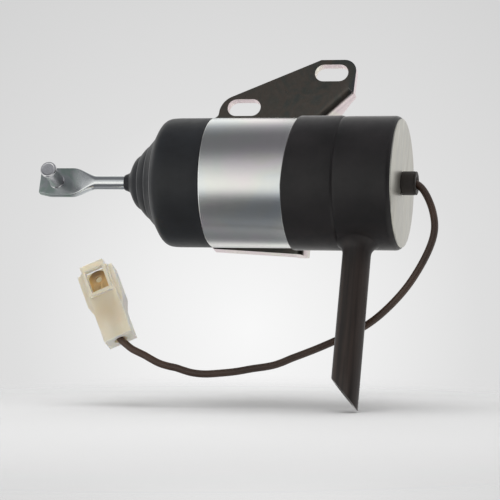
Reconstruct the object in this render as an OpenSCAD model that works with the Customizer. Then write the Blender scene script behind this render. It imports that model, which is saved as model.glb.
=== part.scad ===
// Pull-type fuel shutoff solenoid with a welded slotted bracket, a bellows boot,
// a rubber sleeve with a drain tube, and one lead with a one-way connector.
// The origin is midway between the bracket's two slots, on the face that meets the engine.
// +X runs along the plunger towards the lead, +Y out of that face, +Z up.

/* [Can] */
// Radius of the bare middle band of the can
can_r = 22.4; // [21.5:0.1:24]
// Length of the bare middle band
can_band = 28.2; // [24:0.1:32]
// Wall of the can behind its front neck
can_wall = 1.9; // [1.4:0.1:2.4]
// Length of the front neck that the boot sits on
can_neck = 11.8; // [10:0.1:14]
// Length of the rear neck that the sleeve sits on
can_tail = 35.3; // [33:0.1:40]
// Place of the band's front edge along the axis
band_x = -16.7; // [-19:0.1:-15]

/* [Bracket] */
// Thickness of the bracket's steel
plate_t = 3.2; // [2.5:0.1:4]
// Distance between the slots along the plunger's axis
slot_dx = 30.5; // [29:0.5:32]
// Distance between the slots across the plunger's axis
slot_dz = 13.3; // [12:0.1:14.5]
// Length of each slot, end to end
slot_l = 12; // [10:0.5:12.5]
// Width of each slot
slot_w = 6.5; // [5.5:0.1:6.8]
// Distance from the slots' middle down to the plunger's axis
axis_drop = 45.4; // [44:0.2:48]
// Depth of the rear flange behind the mounting face
flange_h = 4.5; // [4:0.5:7]
// Outer radius of the flange's bend
bend_r = 3.6; // [3.5:0.1:5]

/* [Sleeve] */
// Thickness of the sleeve's wall
sleeve_wall = 1.2; // [1.1:0.05:1.6]
// Outer radius of the drain tube
drain_r = 4.75; // [4.4:0.05:5.2]
// Radius of the drain tube's bore
drain_bore_r = 3.1; // [3:0.05:3.2]
// Distance from the axis to the drain tube's tip
drain_reach = 80; // [70:1:90]
// Distance from the can's rear face to the drain tube's axis
drain_back = 13.5; // [12:0.1:15]

/* [Boot] */
// Thickness of the boot's bellows wall
boot_wall = 1.3; // [1:0.1:1.6]
// Length of the boot in front of the can
boot_l = 19.6; // [18.5:0.1:20.5]
// Number of ridges on the boot's cone
boot_ridges = 3; // [2:1:4]
// Radius of each ridge
ridge_r = 0.7; // [0.5:0.05:0.9]

/* [Rod] */
// Diameter of the rod
rod_d = 4.8; // [4.4:0.1:5.2]
// Distance from the can's front edge to the tip of the flat end
rod_reach = 50.2; // [48:0.2:56]
// Width of the flat end
flat_w = 10.2; // [9:0.1:11]
// Thickness of the flat end
flat_t = 2.2; // [1.8:0.1:2.6]
// Distance from the pin to the tip of the flat end
pin_inset = 6.7; // [5.5:0.1:8]
// Diameter of the pin
pin_d = 4.6; // [4:0.1:5]
// Length of the pin in front of the flat end, head included
pin_l = 12.5; // [10:0.5:15]
// Diameter of the pin's head
pin_head_d = 5.6; // [5.3:0.1:6.5]

/* [Inside] */
// How far the plunger is pulled in
stroke = 10; // [8:0.5:10]
// Radius of the plunger
plunger_r = 7.5; // [7:0.1:8]
// Length of the plunger
plunger_l = 34.5; // [32:0.5:34.5]
// Wall of the brass guide tube
guide_wall = 0.5; // [0.4:0.05:0.7]
// Wire diameter of the return spring
spring_wire = 0.9; // [0.7:0.05:1]
// Number of turns of the return spring
spring_turns = 9; // [7:1:10]

/* [Lead] */
// Diameter of the lead
lead_d = 2.5; // [2.2:0.1:2.6]
// Diameter of the grommet outside the rear cap
grommet_d = 8; // [7:0.1:10]
// How far the grommet stands out of the rear cap
grommet_out = 4.9; // [3:0.1:5]

/* [Connector] */
// Length of the connector's housing
plug_l = 28; // [27:0.5:31]
// Width of the housing's rear end
plug_w = 9.9; // [9.4:0.1:11]
// Thickness of the housing's rear end
plug_t = 7.6; // [7.2:0.1:8.5]
// Width across the hood's side wings
hood_w = 12.6; // [12:0.1:14]
// Width of the blade
blade_w = 6.3; // [6:0.1:6.4]

/* [Hidden] */
$fn = 96;

// Clearances between pieces
run_gap = 0.05;
seat_gap = 0.05;
weld_gap = 0.1;
soft_gap = 0.3;
pole_gap = 0.3;
// Small amount by which cutting shapes run past a face
cut = 1;

// Places along the axis
tail_x = band_x + can_band;
front_x = band_x - can_neck;
cap_t = 1.6;
cap_step = 1.2;
rear_x = tail_x + can_tail + cap_t;
cap_x = rear_x - cap_t;
tip_x = front_x - rod_reach;
pin_x = tip_x + pin_inset;
drain_x = rear_x - drain_back;

// Radii of the can
neck_r = can_r - 1.5;
tail_r = can_r - 0.9;
bore_r = neck_r - can_wall;
sleeve_r = tail_r + sleeve_wall;
cap_r = can_r - 0.9;
sleeve_round = 2;
lip_r = bore_r - 1.5;
lip_t = 0.5;
vent_r = 2;
grommet_neck_r = 3;

// Where the plunger's axis lies behind the mounting face
axis_y = -(plate_t + weld_gap + can_r);
plate_front = can_r + weld_gap;

// Inner stack, from the front
front_plate_t = 4;
bush_r = 4.5;
front_plate_x = front_x + lip_t;
stack_x = front_plate_x + front_plate_t;
washer_h = 2;
bobbin_x = stack_x + washer_h;
core_plate_t = 4;
core_back = 16.1;
core_plate_x = cap_x - core_back;
rivet_r = 1.2;
tenon_r = 5;
rivet_z = (tenon_r + bore_r) / 2;
wire_notch_w = 4;
wire_notch_l = 4;
disc_t = 0.6;
bobbin_end = core_plate_x - disc_t - seat_gap;
spool_t = 1.6;
guide_r = plunger_r + run_gap + guide_wall;
spool_r = guide_r + seat_gap + 1.2;
flange_r = bore_r - 0.4;
winding_r = flange_r - 1;
winding_x = bobbin_x + spool_t + seat_gap;
winding_end = bobbin_end - spool_t - seat_gap;
tape_t = 0.4;

// Plunger and pole faces
bumper_t = 1.35;
plunger_x = stack_x + bumper_t + 2 * seat_gap;
plunger_end = plunger_x + plunger_l;
cone_l = 3.5;
cone_r = plunger_r - 2.5;
pole_x = plunger_end + stroke + pole_gap;
pocket_r = cone_r - 0.6;
pocket_l = 12;
core_pocket = 6.7;
spring_closed = 1.2;
spring_flat = 1.06;
core_shoulder = core_plate_x - seat_gap;
core_rear = core_plate_x + core_plate_t;
peen_r = 0.7;
peen_t = 0.9;
rod_r = rod_d / 2;
rod_hole_l = 16.5;
pin_tail_r = 1.7;

// Weld beads, earth tab and splice
weld_r = 1.5;
weld_z = can_r / 3;
weld_inset = 3.5;
lug_w = 6;
lug_t = 0.8;
lug_tail_l = 6.5;
lug_tail_w = 2.5;
splice_l = 7;

// Bracket outline, from the slots' middle
lobe_a = [-slot_dx / 2 - 2, -slot_dz / 2 - 2.1];
lobe_a_r = 7;
lobe_b = [slot_dx / 2 + 4.3, slot_dz / 2 + 0.6];
lobe_b_r = 4.5;
top_z = lobe_b[1] + lobe_b_r;
edge_tilt = 24.6;
edge_run = 8.4;
bend_top = [24, -1];
knee = [11.8, -13.2];
foot = [knee[0], -axis_drop - 16.8];
foot_left = [-20.5, -axis_drop - 15.2];
foot_rise = 1.8;
flange_runout = 0.3;
flange_lap = 1;
flare_r = 2;
flare_x = lobe_a[0] - lobe_a_r - flare_r;
left_x = flare_x - 4.5;
bend_lean = atan2(knee[0] - bend_top[0], bend_top[1] - knee[1]);

// Bellows profile, as radius and place along the axis
boot_neck_x = front_x - boot_l;
boot_neck_l = 2.8;
boot_lip_r = rod_r + 0.3;
boot_throat_r = rod_r + 1.1;
boot_r = can_r - 0.3;
dome_r = 4.6;
dome_x = front_x - 1.9;
cone_nose = 15.4;
cone_root = 7.1;
cone_front = [8.4, front_x - cone_nose];
cone_rear = [boot_r - 6.1, front_x - cone_root];

// The lead's route from the splice, measured from the plunger's axis
lead_route = [
    [43.4, 0, 0], [49, 0, 0], [52.8, 0, -0.1], [56.2, 0, -3.4], [59.2, 0.5, -10], [60, 1.5, -17],
    [57.5, 3, -25], [52, 5, -34.5], [45, 7.5, -42], [38, 9, -47.5], [30, 9.5, -51.5],
    [20.5, 9, -56.5], [9, 8, -61.5], [-4, 6, -65.2], [-15, 4.5, -66.4], [-25, 3, -65],
    [-32, 1.2, -63], [-37.5, 0.2, -60.1], [-41.5, 0, -57.2]
];
ring_sides = 8;
rings_each = 3;

// The connector's rear end and its lean from upright
plug_at = [-43.4, 0, -56.1];
plug_lean = 25.8;
notch_l = 1.2;
hood_z = plug_l - 14;
hood_end = plug_l - 2;
cavity_z = plug_l - 17.5;
blade_t = 0.8;
blade_nose_r = blade_w / 2 + 0.4;
blade_hole_r = 1;
blade_hole_in = 3.3;
crimp_r = 1.7;
crimp_z = 4.2;
window_z = plug_l - 10.5;
window_l = 8.3;

// Moves what is drawn round the X axis to the plunger's axis
module on_axis() translate([0, axis_y, -axis_drop]) children();

// Turns a profile of radius and place about the plunger's axis
module turned() rotate([0, 90, 0]) rotate_extrude() children();

// A profile rectangle between two radii and two places
module band(r0, r1, x0, x1) translate([r0, x0]) square([r1 - r0, x1 - x0]);

// A bar round the X axis
module bar(r, x0, x1) translate([x0, 0, 0]) rotate([0, 90, 0]) cylinder(r = r, h = x1 - x0);

// A solid drawn in the X-Z plane and given a depth along Y
module upright(y0, y1) translate([0, y1, 0]) rotate([90, 0, 0]) linear_extrude(y1 - y0) children();

// Points that ease from one value to another, as radius and place
function eased(r0, r1, x0, x1, steps) =
    [for (i = [0:steps]) [r0 + (r1 - r0) * (1 - cos(180 * i / steps)) / 2, x0 + (x1 - x0) * i / steps]];

// A point on the smooth curve through four points
function curve_point(a, b, c, d, t) =
    0.5 * (2 * b + (c - a) * t + (2 * a - 5 * b + 4 * c - d) * t * t
        + (3 * b - a - 3 * c + d) * t * t * t);

// All points of a smooth curve through a route
function smooth(route, steps) =
    let (last = len(route) - 1)
    [for (i = [0:last - 1], s = [0:steps - 1])
        curve_point(route[max(i - 1, 0)], route[i], route[i + 1], route[min(i + 2, last)], s / steps),
     route[last]];

function unit(v) = v / norm(v);

// Points along an arc from one angle to another
function arc(centre, r, from, to, steps) =
    [for (i = [0:steps]) let (a = from + (to - from) * i / steps) centre + r * [cos(a), sin(a)]];

// A ring of points round one place on a path that never runs along Y
function ring(at, along, r, sides) =
    let (side = unit(cross(along, [0, 1, 0])), up = unit(cross(side, along)))
    [for (k = [0:sides - 1]) at + r * (cos(360 * k / sides) * side + sin(360 * k / sides) * up)];

// Faces that join rows of points into a solid closed at both ends
function row_faces(rows, sides) = concat(
    [for (i = [0:rows - 2], k = [0:sides - 1])
        let (a = i * sides, b = a + sides, n = (k + 1) % sides)
        each [[b + n, a + n, a + k], [b + k, b + n, a + k]]],
    [[for (k = [0:sides - 1]) k]],
    [[for (k = [sides - 1:-1:0]) (rows - 1) * sides + k]]);

// A round bar swept along a path
module swept(path, r, sides) {
    last = len(path) - 1;
    polyhedron(
        points = [for (i = [0:last])
            each ring(path[i], path[min(i + 1, last)] - path[max(i - 1, 0)], r, sides)],
        faces = row_faces(last + 1, sides));
}

// Steel can with a neck at each end, a rolled lip in front and a vent below
module housing_can() color("lightgray") on_axis() difference() {
    turned() {
        band(bore_r, neck_r, front_x, band_x);
        band(bore_r, can_r, band_x, tail_x);
        band(bore_r, tail_r, tail_x, cap_x);
        band(lip_r, bore_r + cut, front_x, front_plate_x);
    }
    translate([drain_x, 0, -can_r - cut]) cylinder(r = vent_r, h = can_r - bore_r + 3 * cut);
}

// Round end plate with a step that locates it in the can
module rear_cap() color("gainsboro") on_axis() turned() difference() {
    union() {
        band(0, cap_r, cap_x, rear_x);
        band(0, bore_r - seat_gap, cap_x - cap_step, cap_x);
    }
    band(-cut, grommet_neck_r + seat_gap, cap_x - 3, rear_x + cut);
}

// The flange's section: how far in from its outer face, and how far behind the mounting face
function flange_section() =
    let (centre = [bend_r, bend_r - plate_t])
    concat(
        arc(centre, bend_r, 180, 270, 8),
        [[bend_r + flange_lap, -plate_t], [bend_r + flange_lap, 0]],
        arc(centre, bend_r - plate_t, 270, 180, 8),
        [[plate_t, flange_h], [0, flange_h]]);

// The flange and its bend, from its top down past the knee to the foot
module flange() {
    rows = [
        [bend_top, [-cos(bend_lean), -sin(bend_lean)]],
        [knee, [-1, -tan(bend_lean / 2)]],
        [foot - [0, cut], [-1, 0]]
    ];
    section = flange_section();
    polyhedron(
        points = [for (row = rows, p = section)
            [row[0][0] + p[0] * row[1][0], p[1], row[0][1] + p[0] * row[1][1]]],
        faces = row_faces(len(rows), len(section)));
}

// How far back the flange reaches at each height
module flange_limit() rotate([90, 0, 90]) linear_extrude(120, center = true) polygon([
    [-plate_t - cut, bend_top[1] + bend_r], [-flange_runout, bend_top[1] + bend_r],
    [flange_h * 0.45, bend_top[1] - 2], [flange_h * 0.85, bend_top[1] - 4.5],
    [flange_h + cut, bend_top[1] - 8], [flange_h + cut, foot[1] + foot_rise],
    [bend_r - plate_t, foot[1]], [-plate_t - cut, foot[1]]
]);

module bracket_outline() {
    run_end = bend_top + flange_runout * unit(knee - bend_top);
    inset = bend_r + flange_lap / 2;
    difference() {
        polygon(concat(
            [[left_x, lobe_a[1] - flare_r - 1]], arc([flare_x, lobe_a[1]], flare_r, 270, 360, 6),
            arc(lobe_a, lobe_a_r, 180, 90 + edge_tilt, 8),
            [[lobe_b[0] - edge_run, top_z]],
            arc(lobe_b, lobe_b_r, 90, 0, 10),
            [run_end, run_end - inset * [cos(bend_lean), sin(bend_lean)],
             knee - inset * [1, tan(bend_lean / 2)], foot - [inset, 0],
             foot_left, [left_x + 3, foot_left[1] + 7], [left_x, foot_left[1] + 14]]
        ));
        for (side = [-1, 1]) translate([side * slot_dx / 2, side * slot_dz / 2]) slot();
    }
}

module slot() {
    square([slot_l - slot_w, slot_w], center = true);
    for (end = [-1, 1]) translate([end * (slot_l - slot_w) / 2, 0]) circle(r = slot_w / 2);
}

// Bent plate: flat face with two slots, and a flange that runs out at its top
module bracket() color("dimgray") {
    upright(-plate_t, 0) bracket_outline();
    intersection() {
        flange();
        flange_limit();
    }
}

// Two weld beads that fill the wedge between the can and the bracket
module bracket_welds() color("slategray") on_axis() difference() {
    for (side = [-1, 1]) translate([0, plate_front - weld_r / 3, side * weld_z])
        bar(weld_r, band_x + weld_inset, tail_x - weld_inset);
    bar(can_r, band_x, tail_x);
    translate([band_x, plate_front, -can_r]) cube([can_band, 2 * weld_r, 2 * can_r]);
}

// Moulded sleeve, one piece with its drain tube, flattened where the bracket passes it
module rubber_sleeve() color("#1c1b1d") on_axis() {
    flare = 3.5;
    root_z = sqrt(sleeve_r * sleeve_r - pow(drain_r + flare, 2));
    difference() {
        union() {
            turned() difference() {
                polygon(concat(
                    [[cap_r - cut, tail_x], [sleeve_r, tail_x]],
                    arc([sleeve_r - sleeve_round, rear_x - sleeve_round], sleeve_round, 0, 90, 6),
                    [[cap_r - cut, rear_x]]
                ));
                translate([sleeve_r + 2.6, drain_x - 6]) circle(r = 2.9);
            }
            translate([drain_x, 0, 0]) mirror([0, 0, 1]) rotate_extrude() difference() {
                union() {
                    translate([0, tail_r - 2]) square([drain_r, drain_reach - tail_r + 2]);
                    translate([0, tail_r - 2]) square([drain_r + flare, root_z + flare - tail_r + 2]);
                }
                translate([drain_r + flare, root_z + flare]) circle(r = flare);
            }
        }
        turned() {
            band(0, tail_r + seat_gap, tail_x - cut, cap_x);
            band(0, cap_r + seat_gap, cap_x - seat_gap, rear_x + cut);
        }
        translate([drain_x, 0, -drain_reach - cut]) cylinder(r = drain_bore_r, h = drain_reach);
        translate([drain_x - drain_r, 0, -drain_reach + 11.6]) rotate([0, 50.7, 0])
            translate([-10, -20, -30]) cube([60, 40, 30]);
        translate([tail_x - cut, plate_front - seat_gap * 2, -60])
            cube([bend_top[0] + cut - tail_x, 5, 120]);
    }
}

// The outline of the boot's cone at a share of the way from its front to its rear
function cone_at(t) = cone_front + t * (cone_rear - cone_front);

// Bellows boot: a lip on the rod, a ridged cone and a band on the can's neck
module front_boot() color("#232427") on_axis() turned() {
    across = unit([cone_rear[1] - cone_front[1], cone_front[0] - cone_rear[0]]);
    wall = boot_wall * across;
    dome_at = [boot_r - dome_r, dome_x];
    difference() {
        union() {
            polygon(concat(
                [[rod_r + run_gap, boot_neck_x], [boot_lip_r, boot_neck_x],
                 [boot_throat_r, boot_neck_x + boot_neck_l],
                 [(boot_throat_r + cone_front[0]) / 2, cone_front[1] - boot_wall / 2], cone_front, cone_rear],
                arc(dome_at, dome_r, 275, 360, 6),
                [[boot_r, band_x - seat_gap], [neck_r + seat_gap, band_x - seat_gap],
                 [neck_r + seat_gap, front_x - 0.6]],
                arc(dome_at, dome_r - boot_wall, 350, 280, 3),
                [cone_rear - wall, cone_front - wall,
                 [rod_r + boot_wall, boot_neck_x + boot_neck_l + boot_wall],
                 [rod_r + run_gap, boot_neck_x + boot_neck_l]]
            ));
            for (i = [1:boot_ridges]) translate(cone_at(i / boot_ridges) - 0.1 * wall)
                circle(r = ridge_r, $fn = 24);
        }
        for (i = [1:boot_ridges]) translate(cone_at((i - 0.5) / boot_ridges) + 0.3 * wall)
            circle(r = ridge_r, $fn = 24);
    }
}

module front_plate() color("silver") on_axis() turned()
    band(bush_r + seat_gap, bore_r - seat_gap, front_plate_x + seat_gap, stack_x);

// Plain bearing with a flange against the front plate
module guide_bush() color("goldenrod") on_axis() turned() {
    band(rod_r + run_gap, bush_r, front_plate_x, stack_x);
    band(rod_r + run_gap, bush_r + 1.5, front_plate_x - 1.2, front_plate_x);
}

module guide_tube() color("gold") on_axis() turned()
    band(plunger_r + run_gap, guide_r, stack_x + seat_gap, core_shoulder - disc_t);

// Iron stop: a hollow cone that takes the plunger's, a spring pocket and a peened tenon
module fixed_core() color("silver") on_axis() turned() difference() {
    union() {
        band(0, plunger_r - seat_gap, pole_x - cone_l, core_shoulder);
        band(0, tenon_r, core_shoulder - cut, core_rear + peen_t / 2);
        polygon([
            [0, core_rear + seat_gap], [tenon_r + peen_r, core_rear + seat_gap],
            [tenon_r - peen_r, core_rear + peen_t], [0, core_rear + peen_t]
        ]);
    }
    polygon([
        [-cut, pole_x - cone_l - cut], [plunger_r - 0.2, pole_x - cone_l - cut],
        [plunger_r - 0.2, pole_x - cone_l], [cone_r, pole_x], [-cut, pole_x]
    ]);
    band(-cut, pocket_r, pole_x - cut, pole_x + core_pocket);
}

module core_plate() color("silver") on_axis() difference() {
    turned() band(tenon_r + seat_gap, bore_r - seat_gap, core_plate_x, core_plate_x + core_plate_t);
    translate([0, 0, rivet_z]) bar(rivet_r + seat_gap, core_plate_x - cut, core_plate_x + core_plate_t + cut);
    translate([core_plate_x - cut, -wire_notch_w / 2, -bore_r - cut])
        cube([core_plate_t + 2 * cut, wire_notch_w, wire_notch_l + cut]);
}

// Spool with two flanges, the rear one notched for the winding's end
module bobbin() color("ivory") on_axis() difference() {
    turned() {
        band(guide_r + seat_gap, spool_r, bobbin_x, bobbin_end);
        band(guide_r + seat_gap, flange_r, bobbin_x, bobbin_x + spool_t);
        band(guide_r + seat_gap, flange_r, bobbin_end - spool_t, bobbin_end);
    }
    translate([bobbin_end - spool_t - cut, -wire_notch_w / 2, -bore_r])
        cube([spool_t + 2 * cut, wire_notch_w, wire_notch_l]);
}

module coil_winding() color("#b5652b") on_axis() turned()
    band(spool_r + seat_gap, winding_r, winding_x, winding_end);

module coil_tape() color("khaki") on_axis() turned()
    band(winding_r + seat_gap, winding_r + tape_t, winding_x, winding_end);

module insulating_disc() color("sienna") on_axis() turned()
    band(plunger_r + guide_wall, flange_r, bobbin_end + seat_gap / 2, core_plate_x - seat_gap / 2);

// Conical washer that presses the bobbin to the rear
module spring_washer() color("darkgray") on_axis() turned() polygon([
    [guide_r + 1.2, stack_x + seat_gap], [guide_r + 2, stack_x + seat_gap],
    [flange_r - 2, bobbin_x - 0.6], [flange_r - 2, bobbin_x - seat_gap],
    [flange_r - 2.6, bobbin_x - seat_gap],
    [guide_r + 1.2, stack_x + 0.6]
]);

module stop_bumper() color("#2b2b2b") on_axis() turned()
    band(rod_r + soft_gap, plunger_r - soft_gap, stack_x + seat_gap, stack_x + seat_gap + bumper_t);

// Tab that earths the winding, with its rivet through the core plate
module ground_lug() color("tan") on_axis() difference() {
    translate([core_rear + seat_gap, -lug_w / 2, rivet_z - lug_w / 2]) union() {
        cube([lug_t, lug_w, lug_w]);
        translate([0, (lug_w - lug_tail_w) / 2, 0]) rotate([0, 25, 0]) cube([lug_tail_l, lug_tail_w, lug_t]);
    }
    translate([0, 0, rivet_z]) bar(rivet_r + seat_gap, core_plate_x, core_rear + 2 * lug_t);
}

module ground_rivet() color("silver") on_axis() translate([0, 0, rivet_z]) turned() {
    band(0, rivet_r, core_plate_x, core_rear + 2 * lug_t);
    band(0, 1.75 * rivet_r, core_rear + lug_t + 2 * seat_gap, core_rear + 2 * lug_t + 2 * seat_gap);
}

module lead_splice() color("tan") on_axis() turned() difference() {
    band(0, crimp_r, lead_route[0][0] - splice_l, lead_route[0][0]);
    translate([1.6 * crimp_r, lead_route[0][0] - splice_l / 2]) circle(r = 0.85 * crimp_r, $fn = 32);
}

// Grommet with a neck in the rear cap, a flange behind it and a flared mouth
module lead_grommet() color("#262324") on_axis() turned() {
    hole_r = lead_d / 2 + 0.1;
    end_x = rear_x + grommet_out;
    polygon([
        [hole_r, cap_x - 3], [grommet_neck_r + 1, cap_x - 3],
        [grommet_neck_r + 1, cap_x - cap_step - seat_gap], [grommet_neck_r, cap_x - cap_step - seat_gap],
        [grommet_neck_r, rear_x + seat_gap],
        [grommet_d / 2, rear_x + seat_gap], [grommet_d / 2, end_x - 0.5], [grommet_d / 2 - 0.5, end_x],
        [hole_r + 1, end_x], [hole_r, end_x - 1.3]
    ]);
}

// How far along the spring a turn lies, with the end turns lying flat
function spring_rise(t, length) =
    let (flat_l = spring_closed * spring_wire * spring_flat)
    t < spring_closed ? t / spring_closed * flat_l
    : t > spring_turns - spring_closed ? length - (spring_turns - t) / spring_closed * flat_l
    : flat_l + (t - spring_closed) / (spring_turns - 2 * spring_closed) * (length - 2 * flat_l);

// Coil spring between the plunger's pocket and the core's
module return_spring() color("lightslategray") on_axis() {
    start = plunger_end - pocket_l + spring_wire / 2 + seat_gap;
    length = pole_x + core_pocket - spring_wire / 2 - seat_gap - start;
    mean_r = pocket_r - spring_wire / 2 - soft_gap;
    steps = 16;
    swept([for (i = [0:spring_turns * steps])
        let (t = i / steps, a = 360 * t)
        [start + spring_rise(t, length), mean_r * cos(a), mean_r * sin(a)]],
        spring_wire / 2, 6);
}

// Soft iron armature with a conical nose, a spring pocket and the rod's hole
module plunger() color("darkgray") on_axis() turned() difference() {
    union() {
        band(0, plunger_r, plunger_x, plunger_end - cone_l);
        polygon([
            [0, plunger_end - cone_l], [plunger_r, plunger_end - cone_l],
            [cone_r, plunger_end], [0, plunger_end]
        ]);
    }
    band(-cut, rod_r + 0.02, plunger_x - cut, plunger_x + rod_hole_l);
    band(-cut, pocket_r, plunger_end - pocket_l, plunger_end + cut);
}

// Rod whose end is forged flat: a bell-shaped bar cut to a flat's thickness
module rod() color("lightslategray") on_axis() {
    full_x = tip_x + 13.1;
    round_x = full_x + 6.6;
    crop = 0.95;
    crop_l = 4;
    inner_end = plunger_x + rod_hole_l - 0.2;
    difference() {
        turned() polygon(concat(
            [[0, tip_x], [flat_w / 2 - crop, tip_x], [flat_w / 2, tip_x + crop_l]],
            eased(flat_w / 2, rod_r, full_x, round_x, 10),
            [[rod_r, inner_end - 0.4], [rod_r - 0.4, inner_end], [0, inner_end]]
        ));
        for (side = [0, 1]) mirror([0, side, 0]) linear_extrude(4 * flat_w, center = true) polygon([
            [tip_x - cut, flat_t / 2], [full_x, flat_t / 2], [round_x + 0.6, rod_r + 0.25],
            [round_x + 0.6, flat_w], [tip_x - cut, flat_w]
        ]);
        translate([pin_x, 0, 0]) rotate([90, 0, 0])
            cylinder(r = pin_tail_r + 0.02, h = 4 * flat_t, center = true);
    }
}

// Headed pin, its tail riveted over behind the flat end
module link_pin() color("gainsboro") on_axis() translate([pin_x, 0, 0]) rotate([90, 0, 0]) rotate_extrude() {
    face = flat_t / 2;
    top = face + pin_l;
    polygon([
        [0, -face - 0.9], [pin_tail_r, -face - 0.9], [pin_tail_r + 1.1, -face - 0.3],
        [pin_tail_r + 1.1, -face], [pin_tail_r, -face], [pin_tail_r, face], [pin_d / 2, face],
        [pin_d / 2, top - 1.2], [pin_head_d / 2, top - 1.2], [pin_head_d / 2, top - 0.2],
        [pin_head_d / 2 - 0.3, top], [0, top]
    ]);
}

// A place inside the connector, from its rear end along its length
function in_plug(z) = plug_at + z * [-sin(plug_lean), 0, cos(plug_lean)];

module in_connector() on_axis() translate(plug_at) rotate([0, -plug_lean, 0]) children();

module lead_wire() color("#3a2a22") on_axis()
    swept(smooth(concat(lead_route, [in_plug(0.6), in_plug(2.8), in_plug(crimp_z - 0.05)]), rings_each),
        lead_d / 2, ring_sides);

// A box centred across the connector, from its front face to its back, along its length
module block(w, y0, y1, z0, z1) translate([-w / 2, y0, z0]) cube([w, y1 - y0, z1 - z0]);

// One-way housing: rear box, winged hood, raised frame with a window, and the blade's cavity
module connector_housing() color("oldlace") in_connector() {
    wall = 1.3;
    cavity_t = plug_t - 2 * wall;
    cavity_w = blade_w + 1.1;
    wing = (hood_w - plug_w) / 2;
    frame_w = 8.3;
    frame_rise = 1.1;
    difference() {
        union() {
            block(plug_w, -plug_t / 2, plug_t / 2, 0, hood_end);
            block(frame_w, -plug_t / 2 - frame_rise, plug_t / 2, window_z - 3, plug_l);
            upright(-plug_t / 2 + 1, plug_t / 2 + 0.4) polygon([
                [-plug_w / 2, hood_z - 3 * wing], [-hood_w / 2, hood_z], [-hood_w / 2, hood_end],
                [hood_w / 2, hood_end], [hood_w / 2, hood_z], [plug_w / 2, hood_z - 3 * wing]
            ]);
        }
        block(cavity_w, -cavity_t / 2, cavity_t / 2, cavity_z, plug_l + cut);
        block(frame_w - 2, -plug_t, 0, window_z, window_z + window_l);
        translate([0, 0, -cut]) cylinder(r = crimp_r + 0.4, h = cavity_z + 2 * cut);
        block(lead_d + 1.7, -plug_t, plug_t, -cut, notch_l);
        block(2 * plug_w, -plug_t / 2 - frame_rise - cut, -plug_t / 2 - 0.55, window_z - 4, window_z - 1.6);
    }
}

// Blade terminal: a flat blade with a hole, a lance behind it and a crimp round the lead
module terminal_blade() color("#c9a04a") in_connector() {
    tip_z = plug_l - 1.4;
    difference() {
        union() {
            upright(-blade_t / 2, blade_t / 2) intersection() {
                translate([-blade_w / 2, cavity_z + 0.1]) square([blade_w, tip_z - cavity_z - 0.1]);
                translate([0, tip_z - blade_nose_r]) union() {
                    circle(r = blade_nose_r);
                    translate([-blade_w, -plug_l]) square([2 * blade_w, plug_l]);
                }
            }
            translate([0, 0, crimp_z]) cylinder(r = crimp_r, h = cavity_z - crimp_z - 1.4);
            block(2 * crimp_r, -blade_t / 2, blade_t / 2, cavity_z - 2, cavity_z + 0.5);
        }
        translate([0, 0, tip_z - blade_hole_in]) rotate([90, 0, 0])
            cylinder(r = blade_hole_r, h = 5 * blade_t, center = true);
    }
}

housing_can();
rear_cap();
bracket();
bracket_welds();
rubber_sleeve();
front_boot();
front_plate();
guide_bush();
guide_tube();
fixed_core();
core_plate();
bobbin();
coil_winding();
coil_tape();
insulating_disc();
spring_washer();
stop_bumper();
ground_lug();
ground_rivet();
lead_splice();
lead_grommet();
return_spring();
plunger();
rod();
link_pin();
lead_wire();
connector_housing();
terminal_blade();
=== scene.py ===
import math
import bpy
import bmesh
from mathutils import Matrix, Vector


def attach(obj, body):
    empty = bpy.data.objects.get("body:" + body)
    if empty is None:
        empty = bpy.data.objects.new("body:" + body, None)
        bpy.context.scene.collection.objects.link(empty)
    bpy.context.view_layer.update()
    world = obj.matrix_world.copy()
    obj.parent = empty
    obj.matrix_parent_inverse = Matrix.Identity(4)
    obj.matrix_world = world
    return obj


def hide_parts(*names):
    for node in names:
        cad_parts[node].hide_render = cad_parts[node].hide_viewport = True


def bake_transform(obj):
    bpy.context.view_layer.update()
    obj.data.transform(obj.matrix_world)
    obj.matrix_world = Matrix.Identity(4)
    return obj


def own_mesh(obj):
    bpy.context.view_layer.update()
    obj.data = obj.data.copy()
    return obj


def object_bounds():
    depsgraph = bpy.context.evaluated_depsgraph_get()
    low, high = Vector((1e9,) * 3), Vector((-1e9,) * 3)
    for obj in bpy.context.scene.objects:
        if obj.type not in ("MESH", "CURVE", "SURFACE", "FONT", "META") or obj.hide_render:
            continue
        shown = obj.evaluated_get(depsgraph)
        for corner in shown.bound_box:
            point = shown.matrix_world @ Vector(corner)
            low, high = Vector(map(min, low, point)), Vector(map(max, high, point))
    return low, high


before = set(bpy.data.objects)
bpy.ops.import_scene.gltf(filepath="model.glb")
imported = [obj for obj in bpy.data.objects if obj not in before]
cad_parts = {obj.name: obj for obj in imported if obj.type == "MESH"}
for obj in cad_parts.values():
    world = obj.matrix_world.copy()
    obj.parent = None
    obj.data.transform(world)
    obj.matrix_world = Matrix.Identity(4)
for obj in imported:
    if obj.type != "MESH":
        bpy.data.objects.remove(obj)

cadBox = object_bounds()

# Everything below is written in millimetres and scaled once, when a point is made,
# apart from the lamps and strips, which are in metres
mm = 0.001
axisSide, axisUp = -25.7, -45.4          # where the plunger's axis lies behind and below the slots


def point(x, y, z):
    return Vector((x, y, z)) * mm


def offAxis(x, side, up):
    return point(x, axisSide + side, axisUp + up)


# Camera
viewing = {
    "target": (-3.9, -17.3, -66.5),
    "place": (194.2, -756.8, -360.4),
    "right": (0.9704, 0.2213, 0.0974),
    "lens": 174.24,
    "sensor": 36,
    "clip": (0.01, 20),
}


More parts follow.
